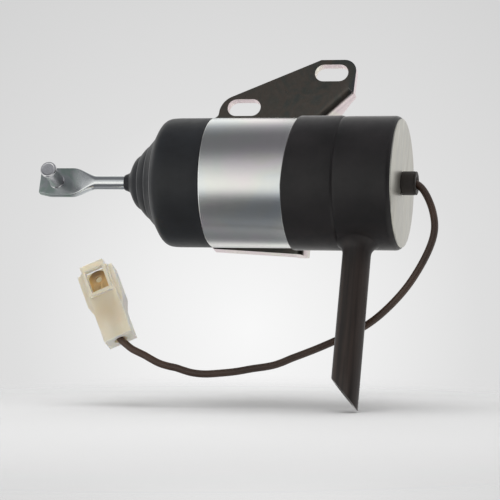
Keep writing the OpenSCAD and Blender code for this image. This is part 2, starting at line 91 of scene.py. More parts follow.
def makeCamera():
    data = bpy.data.cameras.new("photoCamera")
    data.lens = viewing["lens"]
    data.sensor_width = viewing["sensor"]
    data.clip_start, data.clip_end = viewing["clip"]
    camera = bpy.data.objects.new("photoCamera", data)
    bpy.context.scene.collection.objects.link(camera)
    back = (Vector(viewing["place"]) - Vector(viewing["target"])).normalized()
    right = Vector(viewing["right"])
    right = (right - back * right.dot(back)).normalized()
    up = back.cross(right)
    turn = Matrix((right, up, back)).transposed().to_4x4()
    camera.matrix_world = Matrix.Translation(Vector(viewing["place"]) * mm) @ turn
    bpy.context.scene.camera = camera
    return back, right, up


viewBack, viewRight, viewUp = makeCamera()
print("stage: camera set")


# Shared mesh helpers
def shade(piece, angle):
    # Smooth faces, with a sharp edge wherever two of them meet at more than the angle
    piece.data.polygons.foreach_set("use_smooth", [True] * len(piece.data.polygons))
    piece.data.set_sharp_from_angle(angle=math.radians(angle))


def tidyMesh(piece, smooth=35):
    mesh = bmesh.new()
    mesh.from_mesh(piece.data)
    bmesh.ops.remove_doubles(mesh, verts=mesh.verts, dist=1e-7)
    bmesh.ops.recalc_face_normals(mesh, faces=mesh.faces)
    mesh.to_mesh(piece.data)
    mesh.free()
    shade(piece, smooth)


def addMesh(name, points, faces, smooth=35):
    mesh = bpy.data.meshes.new(name)
    mesh.from_pydata([tuple(p) for p in points], [], faces)
    piece = bpy.data.objects.new(name, mesh)
    bpy.context.scene.collection.objects.link(piece)
    tidyMesh(piece, smooth)
    return piece


def circle(steps):
    return [2 * math.pi * k / steps for k in range(steps)]


def quads(rings, steps, closed=False):
    # The faces between rings of points
    faces = []
    for i in range(rings if closed else rings - 1):
        j = (i + 1) % rings
        for k in range(steps):
            n = (k + 1) % steps
            faces.append((i * steps + k, i * steps + n, j * steps + n, j * steps + k))
    return faces


def spun(name, profile, steps, smooth, place=offAxis):
    # A closed outline of (place along the axis, radius), turned about the plunger's axis
    points = [place(x, radius * math.sin(a), radius * math.cos(a))
              for x, radius in profile for a in circle(steps)]
    return addMesh(name, points, quads(len(profile), steps, True), smooth)


def lofted(name, rings, smooth):
    # Rings of equal count joined in turn, closed at both ends
    count = len(rings[0])
    whole = len(rings) * count
    faces = [tuple(reversed(range(count)))] + quads(len(rings), count)
    faces.append(tuple(range(whole - count, whole)))
    return addMesh(name, [p for ring in rings for p in ring], faces, smooth)


def rounded(corners, steps):
    # Rounds each corner (x, y, radius) of a closed outline
    outline = []
    count = len(corners)
    for i, (x, y, radius) in enumerate(corners):
        here = Vector((x, y))
        before = Vector(corners[i - 1][:2]) - here
        after = Vector(corners[(i + 1) % count][:2]) - here
        reach = min(radius, before.length * 0.49, after.length * 0.49)
        if reach < 1e-4:
            outline.append((x, y))
            continue
        a, b = here + before.normalized() * reach, here + after.normalized() * reach
        for s in range(steps + 1):
            t = s / steps
            p = a * (1 - t) ** 2 + here * 2 * t * (1 - t) + b * t ** 2
            outline.append((p.x, p.y))
    return outline


def box(name, width, y0, y1, z0, z1):
    x = width / 2
    points = [Vector(p) * mm for p in (
        (-x, y0, z0), (x, y0, z0), (x, y1, z0), (-x, y1, z0),
        (-x, y0, z1), (x, y0, z1), (x, y1, z1), (-x, y1, z1))]
    faces = [(0, 3, 2, 1), (4, 5, 6, 7), (0, 1, 5, 4), (1, 2, 6, 5), (2, 3, 7, 6), (3, 0, 4, 7)]
    return addMesh(name, points, faces)


def slab(name, outline, y0, y1):
    # An outline of (x, z) given a depth
    count = len(outline)
    points = [Vector((x, y, z)) * mm for y in (y0, y1) for x, z in outline]
    faces = [tuple(range(count)), tuple(reversed(range(count, 2 * count)))]
    faces += [(k, k + count, (k + 1) % count + count, (k + 1) % count) for k in range(count)]
    return addMesh(name, points, faces)


def pipe(name, radius, z0, z1, steps=48):
    points = [Vector((radius * math.cos(a), radius * math.sin(a), z)) * mm
              for z in (z0, z1) for a in circle(steps)]
    faces = [tuple(reversed(range(steps))), tuple(range(steps, 2 * steps))]
    return addMesh(name, points, faces + quads(2, steps))


def applied(piece):
    # Turns a piece's modifiers into its mesh
    graph = bpy.context.evaluated_depsgraph_get()
    mesh = bpy.data.meshes.new_from_object(piece.evaluated_get(graph))
    piece.modifiers.clear()
    piece.data = mesh


def softEdges(piece, width, segments, angle, flat=False):
    # Breaks a piece's sharp edges; a piece with flat faces keeps them evenly lit
    bevel = piece.modifiers.new("edges", "BEVEL")
    bevel.width = width * mm
    bevel.segments = segments
    bevel.limit_method = "ANGLE"
    bevel.angle_limit = math.radians(angle)
    bevel.harden_normals = flat
    applied(piece)
    if not flat:
        tidyMesh(piece)


def carve(piece, others, operation="DIFFERENCE"):
    for other in others:
        cut = piece.modifiers.new("cut", "BOOLEAN")
        cut.operation = operation
        cut.solver = "EXACT"
        cut.object = other
    applied(piece)
    for other in others:
        bpy.data.objects.remove(other)


def joined(name, pieces):
    # One object out of several
    mesh = bmesh.new()
    for piece in pieces:
        mesh.from_mesh(piece.data)
        bpy.data.objects.remove(piece)
    made = bpy.data.meshes.new(name)
    mesh.to_mesh(made)
    mesh.free()
    whole = bpy.data.objects.new(name, made)
    bpy.context.scene.collection.objects.link(whole)
    return whole


def dress(piece, material, body="housing"):
    piece.data.materials.clear()
    piece.data.materials.append(material)
    if body:
        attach(piece, body)


# Shared material helpers
class Tree:
    # A node tree; each step gives the output that the next one takes
    def __init__(self, tree, coordinate):
        self.nodes, self.links = tree.nodes, tree.links
        self.place = self.add("ShaderNodeTexCoord").outputs[coordinate]

    def give(self, socket, value):
        # Another node's output, or else a constant
        if hasattr(value, "node"):
            self.links.new(value, socket)
        elif socket.type == "RGBA":
            socket.default_value = (*value, 1)
        else:
            socket.default_value = value

    def add(self, kind, values=None, operation=None):
        node = self.nodes.new(kind)
        if operation:
            node.operation = operation
        for key, value in (values or {}).items():
            self.give(node.inputs[key], value)
        return node

    def maths(self, operation, *values):
        return self.add("ShaderNodeMath", dict(enumerate(values)), operation).outputs[0]

    def distance(self, place):
        values = {0: self.place, 1: place}
        return self.add("ShaderNodeVectorMath", values, "DISTANCE").outputs["Value"]

    def parts(self, vector):
        return self.add("ShaderNodeSeparateXYZ", {0: vector}).outputs

    def sideways(self):
        # How far a face looks along the row frame's Y, either way
        normal = self.add("ShaderNodeNewGeometry").outputs["Normal"]
        return self.maths("ABSOLUTE", self.parts(normal)["Y"])

    def noise(self, scale, detail, roughness=0.55, distortion=0.0, stretch=None):
        vector = self.place
        if stretch:
            values = {"Vector": vector, "Scale": stretch}
            vector = self.add("ShaderNodeMapping", values).outputs["Vector"]
        return self.add("ShaderNodeTexNoise", {
            "Vector": vector, "Scale": scale, "Detail": detail, "Roughness": roughness,
            "Distortion": distortion}).outputs["Fac"]

    def ramp(self, value, stops):
        node = self.add("ShaderNodeValToRGB", {"Fac": value})
        elements = node.color_ramp.elements
        while len(elements) < len(stops):
            elements.new(0.5)
        for element, (at, colour) in zip(elements, stops):
            element.position = at
            element.color = (*colour, 1)
        return node.outputs["Color"]

    def spread(self, value, low, high, fromLow=0.0, fromHigh=1.0):
        return self.add("ShaderNodeMapRange", {
            "Value": value, "From Min": fromLow, "From Max": fromHigh,
            "To Min": low, "To Max": high}).outputs["Result"]

    def mixed(self, share, a, b):
        node = self.nodes.new("ShaderNodeMix")
        node.data_type = "RGBA"
        self.give(node.inputs["Factor"], share)
        for socket in node.inputs:
            if socket.type == "RGBA":
                self.give(socket, a if socket.name == "A" else b)
        return next(socket for socket in node.outputs if socket.type == "RGBA")

    def bump(self, height, strength, distance, after=None):
        values = {"Height": height, "Strength": strength, "Distance": distance * mm}
        if after:
            values["Normal"] = after
        return self.add("ShaderNodeBump", values).outputs["Normal"]


class Paint(Tree):
    # A material; its settings and feeds are the main shader's sockets
    def __init__(self, name, **settings):
        self.material = bpy.data.materials.new(name)
        self.material.use_nodes = True
        super().__init__(self.material.node_tree, "Object")
        self.shader = self.nodes["Principled BSDF"]
        self.feed(**settings)

    def feed(self, **values):
        for key, value in values.items():
            self.give(self.shader.inputs[key.replace("_", " ")], value)


def toned(colour, *shares):
    # A colour with one share for all channels, or a share for each
    if len(shares) == 1:
        shares *= 3
    return tuple(channel * share for channel, share in zip(colour, shares))


# Lead and its connector
lead = {
    "diameter": 2.45,
    "exit": (48.4, 0, 0),
    "route": [
        (49, 0, 0), (52.8, 0, -0.1), (56.2, 0, -3.4), (59.2, 0.5, -10), (60, 1.5, -17),
        (57.5, 3, -25), (52, 5, -34.5), (45, 7.5, -42), (38, 9, -47.5), (30, 9.3, -51.9),
        (23.4, 8.6, -55.5), (18.9, 8.2, -57.7), (14.4, 7.8, -59.8), (11.3, 7.5, -61.4),
        (8.7, 7.2, -62.5), (5.8, 6.9, -63.3), (1.6, 6.4, -64.2), (-3.6, 5.8, -65.5),
        (-8.9, 5.2, -66.4), (-13.8, 4.6, -67.0), (-17.8, 4.0, -66.9), (-20.8, 3.5, -66.3),
        (-23.5, 3.0, -65.6), (-26.2, 2.5, -65.2), (-29.1, 2.0, -64.5), (-31.7, 1.4, -63.4),
        (-34.3, 0.9, -62.1), (-36.5, 0.5, -61.2), (-38.7, 0.2, -60.2), (-40.7, 0, -58.8),
    ],
    "insideConnector": (-0.2, 1.2, 2.8, 4.15),
    "colour": (0.044, 0.025, 0.0165),
    "roughness": 0.42,
}
connector = {
    "place": (-43.05, 0, -56.8),
    "lean": 25.8,
    "length": 28,
    "foot": -0.4,
    "rearWidth": 9.9,
    "rearDepth": 7.6,
    "hoodWidth": 12.6,
    "hood": (14, 2),                     # this and the next two are counted back from the mouth
    "window": (10.5, 2.2),
    "cavity": 17.5,
    "cavityPlay": 1.1,
    "wall": 1.3,
    "hoodStep": (1, 0.4),
    "frameWidth": 8.3,
    "frameRise": 1.1,
    "frameBar": 1,
    "sill": 1.3,
    "wireHole": 2.1,
    "edge": 0.4,
    "nylon": (0.84, 0.77, 0.62),
    # a lighter painted glow for the faces turned sideways, and painted shade about the barrel
    # inside
    "nylonPaintedGlow": (1.0, 0.93, 0.84),
    "nylonPaintedShade": (0.66, 0.53, 0.33),
    "paintedShadeCentre": 0.36,
}
connectorTurn = Matrix.Rotation(-math.radians(connector["lean"]), 4, "Y")
connectorPlace = Matrix.Translation(offAxis(*connector["place"])) @ connectorTurn


def inConnector(z):
    lean = math.radians(connector["lean"])
    x, y, up = connector["place"]
    return (x - z * math.sin(lean), y, up + z * math.cos(lean))


def smoothRoute(route, steps):
    points = []
    last = len(route) - 1
    for i in range(last):
        a, b = Vector(route[max(i - 1, 0)]), Vector(route[i])
        c, d = Vector(route[i + 1]), Vector(route[min(i + 2, last)])
        for s in range(steps):
            t = s / steps
            points.append(0.5 * (2 * b + (c - a) * t + (2 * a - 5 * b + 4 * c - d) * t ** 2
                                 + (3 * b - a - 3 * c + d) * t ** 3))
    return points + [Vector(route[-1])]


def leadMaterial():
    paint = Paint("leadJacket", Specular_IOR_Level=0.5)
    fine, broad = paint.noise(900, detail=5), paint.noise(60, detail=3)
    rough = lead["roughness"]
    paint.feed(
        Base_Color=paint.ramp(broad, [
            (0.3, toned(lead["colour"], 0.75)), (0.7, toned(lead["colour"], 1.5, 1.4, 1.3))]),
        Roughness=paint.spread(fine, rough - 0.08, rough + 0.12),
        Normal=paint.bump(fine, 0.3, 0.05))
    return paint.material


def makeLead():
    route = [lead["exit"]] + lead["route"] + [inConnector(z) for z in lead["insideConnector"]]
    points = [offAxis(*p) for p in smoothRoute(route, 6)]
    curve = bpy.data.curves.new("leadWire", "CURVE")
    curve.dimensions = "3D"
    curve.bevel_depth = lead["diameter"] / 2 * mm
    curve.bevel_resolution = 5
    curve.use_fill_caps = True
    spline = curve.splines.new("POLY")
    spline.points.add(len(points) - 1)
    for p, at in zip(spline.points, points):
        p.co = (*at, 1)
    spline.use_smooth = True
    piece = bpy.data.objects.new("leadWire", curve)
    bpy.context.scene.collection.objects.link(piece)
    measured = sum((b - a).length for a, b in zip(points, points[1:]))
    print("lead length", round(measured, 4))
    dress(piece, leadMaterial())
    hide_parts("lead_wire")
    return piece, measured


leadPiece, leadLength = makeLead()
print("stage: lead routed")


def nylonMaterial():
    # Cloudy and translucent; the wall about the terminal's barrel gets painted shade where the
    # barrel would show dimly through, and the faces turned sideways get a lighter painted glow
    c = connector
    paint = Paint("naturalNylon", IOR=1.53, Subsurface_Weight=0.7, Subsurface_Scale=0.003,
                  Subsurface_Radius=(1.0, 0.82, 0.55), Transmission_Weight=0.35)
    cloudy = paint.noise(130, detail=4, roughness=0.6, distortion=0.4)
    fine = paint.noise(1400, detail=3)
    colour = paint.ramp(cloudy, [
        (0.25, toned(c["nylon"], 0.93, 0.92, 0.90)), (0.55, c["nylon"]),
        (0.8, toned(c["nylon"], 1.06, 1.07, 1.12))])
    # Painted shade: darker about the barrel inside the wall
    paintedShadeCentre = offAxis(*inConnector(c["length"] * c["paintedShadeCentre"])) - point(0, c["rearDepth"] / 2, 0)
    near = paint.spread(paint.distance(paintedShadeCentre), 0.6, 0.0, 1 * mm, 7.5 * mm)
    colour = paint.mixed(near, colour, c["nylonPaintedShade"])
    # Painted glow: faces turned sideways take the lighter colour
    paintedGlowShare = paint.spread(paint.sideways(), 1.0, 0.0, 0.5, 0.96)
    paint.feed(
        Base_Color=paint.mixed(paintedGlowShare, colour, c["nylonPaintedGlow"]),
        Roughness=paint.spread(cloudy, 0.28, 0.42),
        Normal=paint.bump(fine, 0.15, 0.05))
    return paint.material


terminal = {
    "width": 6.3,
    "thickness": 0.8,
    "tipGap": 1.4,
    "noseOver": 0.4,
    "hole": (1.0, 3.3),                  # its radius, and its place back from the tip
    "barrelRadius": 1.7,
    "barrelFoot": 4.2,
    "barrelGap": 1.4,
    "edge": 0.12,
    "barrelEdge": 0.3,
    "neckWidth": 3.4,
    "neck": (-2, 0.5),
    "colour": (0.95, 0.66, 0.32),
    "dark": (0.72, 0.48, 0.22),
    # painted shade on the blade's tip, and how far back from the tip it centres
    "tipPaintedShade": (0.30, 0.21, 0.14),
    "tipPaintedShadePlace": 1.6,
}


def brassMaterial():
    # The blade's tip is painted a darker brown: painted shade, the dark that the tip mirrors
    t = terminal
    paint = Paint("bladeBrass", Metallic=1.0)
    broad = paint.noise(220, detail=4, roughness=0.6)
    fine = paint.noise(2600, detail=3, stretch=(1, 1, 0.08))
    tip = offAxis(*inConnector(connector["length"] - t["tipPaintedShadePlace"]))
    # Painted shade: darker brown near the tip
    near = paint.spread(paint.distance(tip), 0.85, 0.0, 1.6 * mm, 4.6 * mm)
    base = paint.ramp(broad, [(0.3, t["dark"]), (0.6, t["colour"])])
    paint.feed(
        Base_Color=paint.mixed(near, base, t["tipPaintedShade"]),
        Roughness=paint.spread(fine, 0.2, 0.42),
        Normal=paint.bump(fine, 0.25, 0.03))
    return paint.material


nylon = nylonMaterial()


def makeConnector():
    c = connector
    length = c["length"]
    half, depth = c["rearWidth"] / 2, c["rearDepth"] / 2
    wing = (c["hoodWidth"] - c["rearWidth"]) / 2
    hoodStart, hoodEnd = (length - back for back in c["hood"])
    windowStart, windowEnd = (length - back for back in c["window"])
    frameFront = -depth - c["frameRise"]
    stepFront, stepRear = c["hoodStep"]
    outline = [
        (-half, hoodStart - 3 * wing), (half, hoodStart - 3 * wing), (half + wing, hoodStart),
        (half + wing, hoodEnd), (-half - wing, hoodEnd), (-half - wing, hoodStart)]
    shell = box("connectorHousing", c["rearWidth"], -depth, depth, c["foot"], hoodEnd)
    carve(shell, [
        box("frameBlock", c["frameWidth"], frameFront, depth, windowStart - c["sill"], length),
        slab("hoodBlock", outline, -depth + stepFront, depth + stepRear),
    ], "UNION")
    carve(shell, [                                 # each cut runs past the wall that it opens
        box("cavityCut", terminal["width"] + c["cavityPlay"], -depth + c["wall"],
            depth - c["wall"], length - c["cavity"], length + 1),
        box("windowCut", c["frameWidth"] - 2 * c["frameBar"], frameFront - 2, 0,
            windowStart, windowEnd),
        pipe("wireCut", c["wireHole"], c["foot"] - 1, length - c["cavity"] + 1),
    ])
    softEdges(shell, c["edge"], segments=4, angle=25)
    shell.data.transform(connectorPlace)
    dress(shell, nylon)
    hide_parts("connector_housing")
    return shell


def makeTerminal():
    t = terminal
    cavity = connector["length"] - connector["cavity"]
    tip = connector["length"] - t["tipGap"]
    width, half = t["width"] / 2, t["thickness"] / 2
    nose = width + t["noseOver"]
    start = math.degrees(math.acos(width / nose))
    angles = [math.radians(start + (180 - 2 * start) * k / 16) for k in range(17)]
    arch = [(nose * math.cos(a), tip - nose + nose * math.sin(a)) for a in angles]
    foot = cavity + 0.1
    blade = slab("terminalBlade", [(-width, foot), (width, foot)] + arch, -half, half)
    holeRadius, holeBack = t["hole"]
    hole = pipe("holeCut", holeRadius, -2, 2, 32)
    hole.data.transform(Matrix.Translation((0, 0, (tip - holeBack) * mm))
                        @ Matrix.Rotation(math.pi / 2, 4, "X"))
    carve(blade, [hole])
    softEdges(blade, t["edge"], segments=2, angle=30)
    barrel = pipe("crimpBarrel", t["barrelRadius"], t["barrelFoot"], cavity - t["barrelGap"])
    softEdges(barrel, t["barrelEdge"], segments=3, angle=30)
    neckStart, neckEnd = t["neck"]
    neck = box("crimpNeck", t["neckWidth"], -half, half, cavity + neckStart, cavity + neckEnd)
    whole = joined("terminalBlade", [blade, barrel, neck])
    tidyMesh(whole)
    whole.data.transform(connectorPlace)
    dress(whole, brassMaterial())
    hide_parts("terminal_blade")
    return whole


plugShell = makeConnector()
bladePiece = makeTerminal()
print("stage: connector built")


# Rubber
dustColour = (0.2, 0.2, 0.205)


def rubberMaterial(name, colour, roughness, light=1.6, dust=(), lower=None, sheen=0.1):
    paint = Paint(name, Specular_IOR_Level=0.4, Sheen_Weight=sheen, Sheen_Roughness=0.22)
    fine = paint.noise(1500, detail=4)
    broad = paint.noise(90, detail=5, roughness=0.6)
    bloom = paint.noise(420, detail=6, roughness=0.7)
    base = paint.ramp(broad, [(0.3, toned(colour, 0.8)), (0.75, toned(colour, light))])
    along = paint.parts(paint.place)
    for at, half, share in dust:                   # pale dust that lies in a fold
        apart = paint.maths("ABSOLUTE", paint.maths("SUBTRACT", along["X"], at * mm))
        near = paint.spread(apart, share, 0.0, half * 0.4 * mm, half * mm)
        patches = paint.spread(broad, 0.15, 1.0, 0.35, 0.62)
        base = paint.mixed(paint.maths("MULTIPLY", near, patches), base, dustColour)
    if lower:                                      # browner and streaked further down
        start, end = ((axisUp + drop) * mm for drop in lower["height"])
        height = paint.spread(along["Z"], 1.0, 0.0, start, end)
        streaks = paint.noise(380, detail=4, roughness=0.6, stretch=(1, 1, 0.03))
        brown = paint.ramp(streaks, [
            (0.38, toned(lower["colour"], 0.45)), (0.6, toned(lower["colour"], 1.5))])
        base = paint.mixed(height, base, brown)
    paint.feed(
        Base_Color=base,
        Roughness=paint.spread(bloom, roughness - 0.06, roughness + 0.14),
        Normal=paint.bump(broad, 0.2, 0.25, paint.bump(fine, 0.25, 0.05)))
    return paint.material


boot = {
    "neck": [(-48.1, 2.46), (-48.1, 2.6), (-47.85, 2.74), (-47.4, 2.9), (-46.8, 3.15),
             (-46.4, 3.32), (-46.15, 3.46)],
    "folds": [
        [(-46.0, 3.75), (-45.6, 4.4), (-45.2, 5.2), (-44.8, 6.02), (-44.4, 6.84), (-44.0, 7.54),
         (-43.6, 8.12), (-43.2, 8.58), (-42.8, 8.92), (-42.4, 9.2), (-42.0, 9.46),
         (-41.66, 9.68)],
        [(-41.5, 9.72), (-41.38, 9.98), (-41.1, 10.38), (-40.7, 10.86), (-40.3, 11.3),
         (-39.8, 11.82), (-39.3, 12.28), (-38.8, 12.66), (-38.36, 12.94)],
        [(-38.2, 12.98), (-38.08, 13.26), (-37.8, 13.68), (-37.4, 14.14), (-36.9, 14.66),
         (-36.4, 15.2), (-35.9, 15.8), (-35.5, 16.36), (-35.2, 16.74)],
        [(-35.04, 16.84), (-34.94, 17.28), (-34.7, 17.74), (-34.4, 18.24), (-34.0, 18.92),
         (-33.6, 19.6), (-33.2, 20.2), (-32.8, 20.7), (-32.4, 21.08), (-32.0, 21.36),
         (-31.5, 21.6), (-30.8, 21.8), (-29.8, 21.92), (-28.0, 22.0)],
    ],
    "band": [(-20, 22.0), (-17.4, 22.0), (-17.2, 21.93), (-17.05, 21.96), (-16.85, 21.96),
             (-16.75, 21.86)],
    "inner": [(-16.75, 20.97), (-28.8, 20.97), (-31, 20.0), (-33.5, 17.6), (-36, 14.0),
              (-39.5, 10.3), (-42.6, 7.0), (-43.8, 4.0), (-45.2, 2.6)],
    "dust": [(-45.9, 0.25, 0.45), (-41.3, 0.24, 0.6), (-37.95, 0.24, 0.7), (-34.8, 0.28, 1.0)],
    "colour": (0.0075, 0.0085, 0.0105),
    "roughness": 0.46,
}


def makeBoot():
    b = boot
    piece = spun("frontBoot", b["neck"] + sum(b["folds"], []) + b["band"] + b["inner"], 160, 60)
    rubber = rubberMaterial("bootRubber", b["colour"], b["roughness"], dust=b["dust"])
    dress(piece, rubber, None)
    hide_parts("front_boot")
    offAxis(-28.5, 0, 0)
    offAxis(-47.5, 0, 0)
    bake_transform(piece)


makeBoot()
print("stage: boot built")


sleeve = {
    "front": [(11.5, 21.56, 0), (11.5, 22.7, 0.5), (16, 22.7, 0)],
    "wall": [(23.5, 22.7), (23.7, 22.7), (27.9, 22.7), (28.45, 22.55), (28.8, 22.2),
             (29.2, 22.36), (30.0, 22.43), (32.8, 22.48)],
    "underside": [(46.75, 21.56), (23.7, 21.56), (23.5, 21.56)],
    "radius": 22.5,
    "rear": 48.4,
    "rounding": 2.2,
    "pull": 2.2,
    "pullEnd": 20,
    "flat": 22.35,                       # the bracket passes here
    "flatEnd": 23.6,
    "drainPlace": 34.9,
    "drainRadius": 4.75,
    "drainBore": 3.1,
    "drainTip": -80.0,
    "drainCut": 10.6,
    "flare": 3.5,
    "sink": 0.25,                        # how far the flare's top lies inside the wall
    "outside": (30, 34, 40, 48, 56, 62, 67),
    "lip": ((0, 0.25), (0.12, 0.05), (0.35, 0)),       # steps inward, each with its lift
    "boreLip": ((0.3, 0), (0.08, 0.05), (0, 0.25)),    # steps outward from the bore
    "inside": (66, 50, 22.2),
    "colour": (0.0066, 0.0055, 0.0060),
    "light": 2.1,
    "lower": {"colour": (0.0235, 0.0152, 0.012), "height": (-34, -19)},
    "roughness": 0.46,
    "sheen": 0.6,
}


def upward(side, up, radius):
    # How far up a point lies as the photograph shows it, as a share of the radius
    return max((up * viewUp.z + side * viewUp.y) / radius + 0.05, 0)


def sleeveBody():
    s = sleeve
    front, inner, big = s["front"][0][0], s["front"][0][1], s["front"][1][1]

    def place(x, side, up):
        if x < s["pullEnd"]:
            x += s["pull"] * upward(side, up, big) * (s["pullEnd"] - x) / (s["pullEnd"] - front)
        if x < s["flatEnd"]:
            side = min(side, s["flat"])
        return offAxis(x, side, up)

    soft = s["rounding"]
    tuck = math.acos((inner + 0.03 - s["radius"] + soft) / soft)     # ends just off the can
    rear = [(s["rear"] - soft + soft * math.sin(a), s["radius"] - soft + soft * math.cos(a))
            for a in [tuck * k / 8 for k in range(9)]]
    profile = rounded(s["front"], 6) + s["wall"] + rear + s["underside"]
    return spun("sleeveBody", profile, 160, 40, place)


def drainTube():
    s = sleeve
    steps, flareSteps = 72, 8
    outer, bore = s["drainRadius"], s["drainBore"]
    rings = []

    def ring(radius, height):
        rings.append([])
        for a in circle(steps):
            x, y = radius * math.cos(a), radius * math.sin(a)
            rings[-1].append(offAxis(s["drainPlace"] + x, y, height(x, y)))

    def cut(radius, lift):                         # the slanted tip, higher towards the boot
        slope = s["drainCut"] / (2 * outer)
        ring(radius, lambda x, y: s["drainTip"] + s["drainCut"] - (x + outer) * slope + lift)

    for t in range(flareSteps + 1):                # the flare, down from the sleeve
        a = math.radians(90 * t / flareSteps)
        fall = s["sink"] * (1 - t / flareSteps) - s["flare"] * (1 - math.cos(a))
        ring(outer + s["flare"] * (1 - math.sin(a)),
             lambda x, y: fall - math.sqrt(s["radius"] ** 2 - y ** 2))
    for drop in s["outside"]:
        ring(outer, lambda x, y: -drop)
    for inward, lift in s["lip"]:
        cut(outer - inward, lift)
    for outward, lift in s["boreLip"]:
        cut(bore + outward, lift)
    for drop in s["inside"]:
        ring(bore, lambda x, y: -drop)
    points = [p for row in rings for p in row]
    return addMesh("drainTube", points, quads(len(rings), steps), 40)


def makeSleeve():
    s = sleeve
    whole = joined("rubberSleeve", [sleeveBody(), drainTube()])
    shade(whole, 50)
    rubber = rubberMaterial("sleeveRubber", s["colour"], s["roughness"], s["light"],
                            lower=s["lower"], sheen=s["sheen"])
    dress(whole, rubber)
    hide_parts("rubber_sleeve")


makeSleeve()

grommet = {
    "outline": [
        (43.8, 1.35, 0), (43.8, 4.0, 0.2), (45.5, 4.0, 0.1), (45.5, 3.0, 0), (48.45, 3.0, 0),
        (48.45, 4.0, 0.25), (52.55, 4.0, 0.15), (52.6, 3.78, 0.1), (52.8, 3.78, 0.1),
        (52.85, 3.98, 0.1), (53.3, 3.9, 0.4), (53.3, 2.3, 0.6), (52.0, 1.35, 0.3)],
    "colour": (0.02, 0.0155, 0.0135),
    "roughness": 0.5,
}


def makeGrommet():
    piece = spun("leadGrommet", rounded(grommet["outline"], 4), 96, 40)
    rubber = rubberMaterial("grommetRubber", grommet["colour"], grommet["roughness"])
    dress(piece, rubber)
    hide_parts("lead_grommet")
    return piece


grommetPiece = makeGrommet()
offAxis(*lead["exit"])
print("stage: sleeve, drain tube and grommet built")


# Metals
def metalMaterial(name, colour, roughness, scale, stretch, specks, grain=0.2, vary=0.085):
    # Brushed along the stretch, with faint patches of tint and duller specks
    paint = Paint(name, Metallic=1.0, Anisotropic=0.3)
    lines = paint.noise(scale, detail=6, roughness=0.6, stretch=stretch)
    patches = paint.noise(38, detail=3, roughness=0.5, distortion=0.6)
    dots = paint.noise(700, detail=5, roughness=0.7)
    base = paint.ramp(patches, [
        (0.25, toned(colour, 0.9, 0.96, 1.07)), (0.45, colour),
        (0.6, toned(colour, 1.05, 0.97, 1.03)), (0.8, toned(colour, 1.02, 1.03, 0.9))])
    share = paint.spread(dots, 0.0, specks, 0.45, 0.8)
    paint.feed(
        Base_Color=paint.mixed(share, base, toned(colour, 0.6)),
        Roughness=paint.spread(lines, roughness - vary, roughness + vary),
        Normal=paint.bump(lines, grain, 0.03))
    return paint.material


can = {
    "outline": [
        (-28.5, 17.5, 0.1), (-28.5, 20.9, 0.6), (-16.7, 20.9, 0), (-16.7, 22.0, 0.45),
        (5, 22.0, 0), (11.5, 22.0, 0.2), (11.5, 21.5, 0), (14.5, 21.5, 0), (46.8, 21.5, 0.1),
        (46.8, 19.0, 0), (-28.0, 19.0, 0), (-28.0, 17.5, 0.1)],
    "radius": 22.0,
    "leaning": (5, 11.5),
    "lean": 1.9,
    "colour": (0.755, 0.765, 0.735),
    "roughness": 0.25,
}


def makeCan():
    c = can
    start, end = c["leaning"]

    def place(x, side, up):                        # the band's rear edge leans as the sleeve's does
        if start < x <= end + 0.1:
            x += c["lean"] * upward(side, up, c["radius"]) * (x - start) / (end - start)
        return offAxis(x, side, up)

    piece = spun("canShell", rounded(c["outline"], 4), 192, 40, place)
    zinc = metalMaterial("canZinc", c["colour"], c["roughness"], 500, (1, 0.05, 0.05),
                         specks=0.06, grain=0.015, vary=0.03)
    dress(piece, zinc)
    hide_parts("housing_can")


makeCan()

cap = {
    "outline": [
        (45.6, 3.05, 0), (45.6, 18.9, 0), (46.8, 18.9, 0), (46.8, 21.5, 0.1),
        (48.4, 21.5, 0.25), (48.4, 4.9, 0.1), (48.28, 4.6, 0.1), (48.28, 3.05, 0)],
    "tones": [(0.3, (0.52, 0.50, 0.44)), (0.45, (0.68, 0.66, 0.59)),
              (0.56, (0.62, 0.61, 0.56)), (0.7, (0.84, 0.82, 0.74))],
    "scratch": (0.42, 0.40, 0.36),
    "roughness": 0.34,
}


def capMaterial():
    # Turned steel with wiped vertical streaks and fine scratches
    paint = Paint("capSteel", Metallic=1.0, Anisotropic=0.3)
    streaks = paint.noise(260, detail=5, roughness=0.65, distortion=0.5, stretch=(1, 1, 0.12))
    scratches = paint.noise(1500, detail=6, roughness=0.65, stretch=(1, 1, 0.03))
    share = paint.spread(scratches, 0.0, 0.5, 0.5, 0.75)
    rough = cap["roughness"]
    paint.feed(
        Base_Color=paint.mixed(share, paint.ramp(streaks, cap["tones"]), cap["scratch"]),
        Roughness=paint.spread(streaks, rough - 0.1, rough + 0.1),
        Normal=paint.bump(streaks, 0.15, 0.15, paint.bump(scratches, 0.4, 0.03)))
    return paint.material


def makeCap():
    piece = spun("rearCap", rounded(cap["outline"], 3), 160, 35)
    dress(piece, capMaterial())
    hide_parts("rear_cap")


makeCap()
print("stage: can and cap built")


rod = {
    "tip": -78.7,
    "end": [                             # from the tip: place, share of width, share of thickness
        (0, 0.76, 0.8), (0.1, 0.8, 0.93), (0.45, 0.838, 1), (2.2, 0.915, 1),
        (3.7, 0.985, 1), (4.6, 1, 1), (8, 1, 1), (10.3, 1, 1)],
    "flatEnd": -67.4,
    "roundStart": -58.4,
    "thickening": 1.15,
    "cornering": 1.6,
    "shank": (-56, -50, -40, -20, 6.0),
    "radius": 2.45,
    "flatHalf": 5.1,
    "flatThick": 1.1,
    "corner": 0.42,
    "colour": (0.86, 0.88, 0.88),
    "roughness": 0.15,
    "flatTones": [(0.3, (0.33, 0.37, 0.37)), (0.45, (0.40, 0.42, 0.43)),
                  (0.58, (0.30, 0.37, 0.34)), (0.75, (0.44, 0.42, 0.45))],
    "flatRoughness": 0.38,
}


